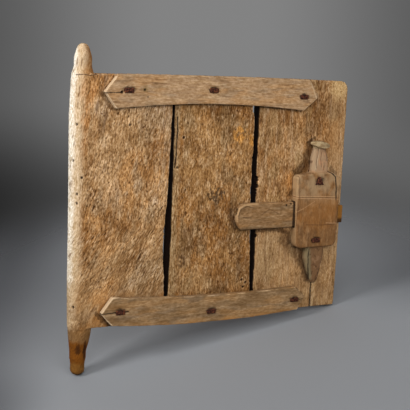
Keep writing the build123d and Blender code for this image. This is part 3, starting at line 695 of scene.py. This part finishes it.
# ---------------------------------------------------------------- staples
# Short straps forged from scrap iron, driven through the wood from the front and bent over behind. They
# are dark, pitted and brown with old rust.
staple_pitch = 0.8 * mm
for seed, node in enumerate(staple_nodes):
    staple = worked_copy(f"iron_{node}", node, staple_pitch)
    skin = Skin(staple)
    skin.points = skin.soften(skin.points, 5)
    beaten = 0.3 + 0.5 * drift(skin.points, (4 * mm, 4 * mm, 4 * mm), 80 + seed)
    beaten += 0.25 * drift(skin.points, (1.8 * mm, 1.8 * mm, 1.8 * mm), 90 + seed)
    skin.depth = 0.7 * mm * beaten
    skin.leave(0.03 * mm)
    finish = Finish(f"{node}_rust", tone(72, 38, 26))
    crust = finish.noise((3.5, 3.5, 3.5), 4.0, seed=seed)
    finish.layer(tone(124, 70, 40), crust.ease(0.5, 0.68) * 0.8)
    finish.layer(tone(28, 14, 8), crust.ease(0.5, 0.36) * 0.9)
    finish.layer(tone(150, 100, 76), finish.rise.ease(0.1, 0.4) * 0.5)
    pits = finish.noise((1, 1, 1), 3.0, seed=seed + 0.5)
    material = finish.done(pits * 0.3 + 0.55, pits, 0.4 * mm)
    finish.shader.inputs["Metallic"].default_value = 0.2
    place_piece(staple, material, "leaf", node)

# ---------------------------------------------------------------- lock case
# The lock is carved from one block of hard wood as a stylised figure: a cap, a tapering neck, the body
# that holds the works, and a tapering tail. Scribed lines cross its face, and its right shoulder has
# split along the grain.
lock_pitch = 1.3 * mm
channel_play = 0.15 * mm
lock = worked_copy("lock_figure", "lock_case", lock_pitch)
skin = Skin(lock)
smooth_work(skin, 2, 0.6 * mm, 101)
skin.leave(channel_play)
finish = smooth_finish("lock_wood", 2, tone(124, 86, 50), tone(134, 90, 46), tone(112, 80, 50), 0.45)
# The body: orange where hands rub it, paler above, darker below.
finish.layer(tone(148, 96, 44), finish.spot(488, 262, 62, 46, 0.9) * 0.5)
upper = finish.z.ease(262 * mm, 316 * mm) * finish.patches((20, 20, 20), 31, 0.3, 0.56)
finish.layer(tone(166, 136, 100), upper * 0.8)
lower = finish.z.ease(232 * mm, 204 * mm) * finish.patches((24, 24, 20), 32, 0.36, 0.6)
finish.layer(tone(122, 86, 50), lower * 0.6)
finish.layer(tone(168, 126, 82), finish.patches((14, 14, 18), 33, 0.52, 0.68) * 0.45)
finish.layer(tone(94, 62, 32), finish.patches((12, 12, 16), 34, 0.48, 0.32) * 0.38)
# The neck, pink and drying in long splits.
neck = finish.z.ease(337 * mm, 343 * mm)
finish.layer(tone(164, 130, 98), neck * 0.75)
finish.layer(tone(184, 134, 96), finish.patches((9, 9, 14), 35, 0.48, 0.62) * neck * 0.6)
# Painted highlight on the neck's left facet and its arris, as lit from the left.
neck_left_lit = finish.x.ease(482 * mm, 474 * mm) * finish.z.ease(340 * mm, 346 * mm)
finish.layer(tone(160, 134, 104), neck_left_lit * 0.8)
neck_arris_highlight = finish.line((483, 384), (475, 346), 3) * finish.z.ease(340 * mm, 344 * mm)
finish.layer(tone(194, 168, 134), neck_arris_highlight * 0.5)
for places in (((482, 388), (480, 374), (476, 362), (477, 348)), ((489, 380), (486, 366), (488, 350)),
               ((469, 362), (466, 350)), ((497, 384), (500, 372), (499, 362)), ((494, 352), (493, 344))):
    finish.layer(tone(92, 62, 40), finish.trail(places, 1.5) * 0.7)
# The cap, pale as straw.
cap = finish.z.ease(385 * mm, 389 * mm)
finish.layer(tone(172, 150, 112), cap * 0.85)
finish.layer(tone(128, 100, 66), finish.patches((9, 9, 5), 36, 0.5, 0.36) * cap * 0.7)
# The tail, mottled, with a greenish left flank, painted paler as a highlight where it is lit from the
# left.
tail = finish.z.ease(190 * mm, 184 * mm)
finish.layer(tone(118, 86, 58), tail * 0.75)
finish.layer(tone(148, 112, 80), finish.patches((8, 8, 10), 37, 0.5, 0.64) * tail * 0.7)
finish.layer(tone(76, 50, 28), finish.patches((7, 7, 11), 38, 0.47, 0.33) * tail * 0.7)
tail_flank_lit = finish.line((466, 186), (478, 122), 12) * finish.z.ease(192 * mm, 184 * mm)
finish.layer(tone(124, 110, 80), tail_flank_lit * 0.8)
# The body's pale left arris, worn and with a painted highlight where it is lit from the left, then the
# scribed lines: pale ridges and dark cuts painted as shade.
left_arris_worn_and_lit = finish.y.ease(-41.6 * mm, -40 * mm) * finish.x.ease(444 * mm, 436 * mm)
finish.layer(tone(190, 158, 116), left_arris_worn_and_lit * 0.35)
scribe = tone(192, 150, 108)
for places in (((430, 293.2), (473, 291.8), (523, 289.5)), ((431, 289.7), (484, 287.6), (534.5, 284.2)),
               ((504, 237), (537, 234.6))):
    finish.layer(scribe, finish.trail(places, 1.5) * 0.6)
finish.layer(scribe, finish.trail(((434, 261.8), (451, 269.8), (474, 281.9)), 1.3) * 0.45)
cut_shade = tone(84, 52, 26)
for places in (((431, 291.4), (484, 289.4), (530, 286.6)), ((457, 235.2), (494, 233.1), (533, 234.4)),
               ((434.8, 332), (437.4, 294), (435.3, 260), (435.1, 234))):
    finish.layer(cut_shade, finish.trail(places, 1.4) * 0.6)
# The split shoulder, how it fades out below, and the split along the tail, painted dark as shade inside
# them.
shoulder = ((505, 341), (513, 335.4), (519.5, 330), (523, 307.3), (524, 284.5))
finish.layer(shade_and_stain_black, finish.trail(shoulder, 2.4) * 0.95)
finish.layer(cut_shade, finish.trail(((524, 284.5), (527.7, 265), (531, 247)), 1.6) * 0.5)
finish.layer(shade_and_stain_black, finish.trail(((471, 184), (470, 168), (473, 146), (480, 118)), 2.0) * 0.8)
staple_dirt(finish, [node for node in staple_nodes if node.startswith("lock")])
place_piece(lock, smooth_close(finish), "leaf", "lock_case")

# ---------------------------------------------------------------- sliding bolt
# A bar of the same hard wood that slides through the case. Its free end is rounded and dished by thumbs,
# and the narrower tongue at its other end goes into the door frame.
bolt_play = 0.35 * mm
bolt = worked_copy("bolt_bar", "sliding_bolt", lock_pitch)
skin = Skin(bolt)
x, y, z = skin.points.T
smooth_work(skin, 0, 0.35 * mm, 121)
dish = 1 - step(np.hypot((x - 324 * mm) / (17 * mm), (z - 263 * mm) / (9 * mm)), 0.4, 1.0)
skin.depth += 1.6 * mm * dish * (skin.normals[:, 1] < facing_front)
for hole in ((415.7, 276), (425.8, 279)):
    skin.dent(hole[0] * mm, hole[1] * mm, 2 * mm, 2 * mm)
skin.leave(bolt_play)
finish = smooth_finish("bolt_wood", 0, tone(136, 102, 66), tone(144, 104, 62), tone(124, 98, 68), 0.6)
# The rim of the dish, two scratches and the pale worn arris of the free end.
for places in (((307, 256), (312, 271), (325.4, 275.4), (340, 272.2)), ((318, 254), (335, 253))):
    finish.layer(tone(66, 42, 24), finish.trail(places, 2.2) * 0.6)
finish.layer(tone(92, 62, 38), finish.trail(((358.6, 258.3), (375.5, 268.6), (396.4, 258.9)), 1.6) * 0.6)
free_end = ((305, 247), (304.5, 258), (309, 270), (320, 278.5), (350, 280))
finish.layer(tone(190, 154, 112), finish.trail(free_end, 3.2) * 0.55)
# Painted shade at the mouth of the case and along the part that lies in it, and golden at the end of the
# tongue.
case_mouth_shade = finish.x.ease(427.5 * mm, 430.5 * mm) * finish.x.ease(520 * mm, 500 * mm)
finish.layer(shade_and_stain_black, case_mouth_shade * 0.9)
tongue_end = finish.x.ease(534 * mm, 540 * mm)
finish.layer(tone(136, 88, 28), tongue_end * 0.9)
finish.layer(tone(56, 32, 12), tongue_end * finish.z.ease(246 * mm, 240 * mm) * 0.9)
place_piece(bolt, smooth_close(finish), "bolt", "sliding_bolt")

# ---------------------------------------------------------------- tumblers
# Three iron drop pins in wells at the back of the case, which catch in the bolt. They are bare forged
# iron, darkened and a little polished where they slide.
for number in (1, 2, 3):
    node = f"tumbler_{number}"
    finish = Finish(f"{node}_iron", tone(66, 52, 46))
    crust = finish.noise((2, 2, 2), 4.0, seed=number)
    finish.layer(tone(112, 70, 46), crust.ease(0.5, 0.66) * 0.7)
    finish.layer(tone(38, 30, 28), crust.ease(0.44, 0.3) * 0.8)
    finish.shader.inputs["Metallic"].default_value = 0.5
    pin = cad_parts[node]
    pin.data.materials.clear()
    pin.data.materials.append(finish.done(crust * 0.4 + 0.3, crust, 0.2 * mm))

# ---------------------------------------------------------------- floor, background, lamps and camera
# The door stands on the tip of its bottom pivot and the lower corner of its latch plank, on a sloping
# grey paper floor that fades into a studio background. A large soft key hangs in front on the left, with
# a weak fill at its right; a small low lamp far to the left throws the shadows to the right.
camera_place = (-523.8 * mm, -1547.2 * mm, 563.9 * mm)
camera_right = (0.89642, -0.44129, 0.04106)
camera_up = (0.03631, 0.16545, 0.98555)
camera_back = (-0.44171, -0.88198, 0.16434)

floor_mesh = bpy.data.meshes.new("floor")
floor_centre = (0.26, 0.1, 0)
floor_low = cad_box[0][2] - 0.5 * mm
floor_rise = (leaf_bottom - cad_box[0][2]) / cad_box[1][0]
floor_slope = 0.12
slab = bmesh.new()
bmesh.ops.create_circle(slab, cap_ends=True, segments=96, radius=1.4,
                        matrix=Matrix.Translation(floor_centre))
for corner in slab.verts:
    corner.co.z = floor_low + floor_rise * corner.co.x + floor_slope * corner.co.y
slab.to_mesh(floor_mesh)
slab.free()
floor = bpy.data.objects.new("floor", floor_mesh)
bpy.context.collection.objects.link(floor)
finish = Finish("floor_paper", tone(139, 141, 144))
middle_grey = tone(100, 101, 104)
dark_grey = tone(60, 61, 64)
across = finish.place.vector("DOT_PRODUCT", camera_right, out="Value")
near = finish.place.vector("DOT_PRODUCT", camera_back, out="Value")
# Painted shade: the paper darkens to the left, a little towards the camera and far back on the right,
# where the studio light falls off.
finish.layer(tone(84, 85, 88), across.ease(0.0, -0.26))
finish.layer(middle_grey, near.ease(-0.05, 0.22) * 0.1)
finish.layer(dark_grey, near.ease(-0.08, 0.1) * across.ease(0.0, -0.2) * 0.6)
finish.layer(dark_grey, across.ease(-0.25, -0.6) * 0.7)
finish.layer(middle_grey, across.ease(0.5, 0.75) * near.ease(-0.12, -0.34) * 0.7)
far = finish.place.vector("SUBTRACT", floor_centre).vector("LENGTH", (0, 0, 0), out="Value")
rough = finish.noise((2, 2, 2), 3.0) * 0.1 + 0.8
floor_mesh.materials.append(finish.done(rough, finish.noise((2, 2, 2)), 0.05 * mm))
finish.place.tree.links.new(far.ease(0.95, 0.45).socket, finish.shader.inputs["Alpha"])

world = bpy.data.worlds.new("studio")
world.use_nodes = True
bpy.context.scene.world = world
light = world.node_tree.nodes["Background"]
light.inputs["Color"].default_value = (0.95, 0.97, 1.0, 1.0)
view = Wire(world.node_tree, world.node_tree.nodes.new("ShaderNodeTexCoord").outputs["Generated"])
slope = view.vector("DOT_PRODUCT", (0, 0, 1), out="Value")
across = view.vector("DOT_PRODUCT", camera_right, out="Value")
# What the camera sees: a dark band at the height of the horizon, which fades to both sides.
band = slope.ease(-0.05, -0.165) * slope.ease(-0.29, -0.19)
low = slope.ease(-0.22, -0.36)
level = low * 0.075 + 0.225 - band * 0.13
level = level * (1 - across.ease(-0.04, -0.26) * (band * 0.2 + 0.6))
level = level * (1 - across.ease(0.05, 0.26) * (0.54 - low * 0.29) * (1 - band))
# What lights the door: weaker from above, stronger from behind.
height = slope.ease(0.02, 0.55)
behind = view.vector("DOT_PRODUCT", (0.3, 0.95, 0), out="Value").ease(0.3, 0.95)
behind = behind * slope.ease(-0.1, 0.1)
world.node_tree.links.new((0.36 - height * 0.28 + behind * 0.9).socket, light.inputs["Strength"])
grey = level.node("CombineXYZ", {}, {0: level, 1: level, 2: level})
paper = grey.node("Background", {}, {"Color": grey})
seen = paper.node("LightPath", {}, {}, out="Is Camera Ray")
for kind in ("Is Glossy Ray", "Is Transmission Ray"):
    seen = seen.math("MAXIMUM", seen, paper.node("LightPath", {}, {}, out=kind))
mixed = seen.node("MixShader", {}, {0: seen, 1: Wire(world.node_tree, light.outputs[0]), 2: paper})
world.node_tree.links.new(mixed.socket, world.node_tree.nodes["World Output"].inputs["Surface"])


def lamp(name, place, aim, power, size):
    """A square soft lamp at place that shines at aim."""
    light = bpy.data.lights.new(name, "AREA")
    light.energy = power
    light.size = size
    holder = bpy.data.objects.new(name, light)
    bpy.context.collection.objects.link(holder)
    place = np.array(place)
    away = place - np.array(aim)
    away /= np.linalg.norm(away)
    side = np.cross((0, 0, 1), away)
    side /= np.linalg.norm(side)
    turn = Matrix(np.stack([side, np.cross(away, side), away], axis=1).tolist()).to_4x4()
    holder.matrix_world = Matrix.Translation(place.tolist()) @ turn


middle = (0.26, 0, 0.27)
lamp("key", (-0.75, -2.1, 1.75), middle, 47, 2.2)
lamp("right_fill", (0.6, -2.2, 0.9), middle, 13, 1.2)
lamp("left_side", (-2.1, -0.4, 1.55), middle, 40, 0.65)

camera = bpy.data.objects.new("camera", bpy.data.cameras.new("camera"))
bpy.context.collection.objects.link(camera)
camera.data.lens = 80
camera.data.sensor_width = 36
camera.data.clip_start = 0.05
camera.matrix_world = Matrix.Translation(camera_place) @ Matrix(
    (camera_right, camera_up, camera_back)).transposed().to_4x4()
bpy.context.scene.camera = camera
bpy.context.scene.view_settings.view_transform = "Standard"
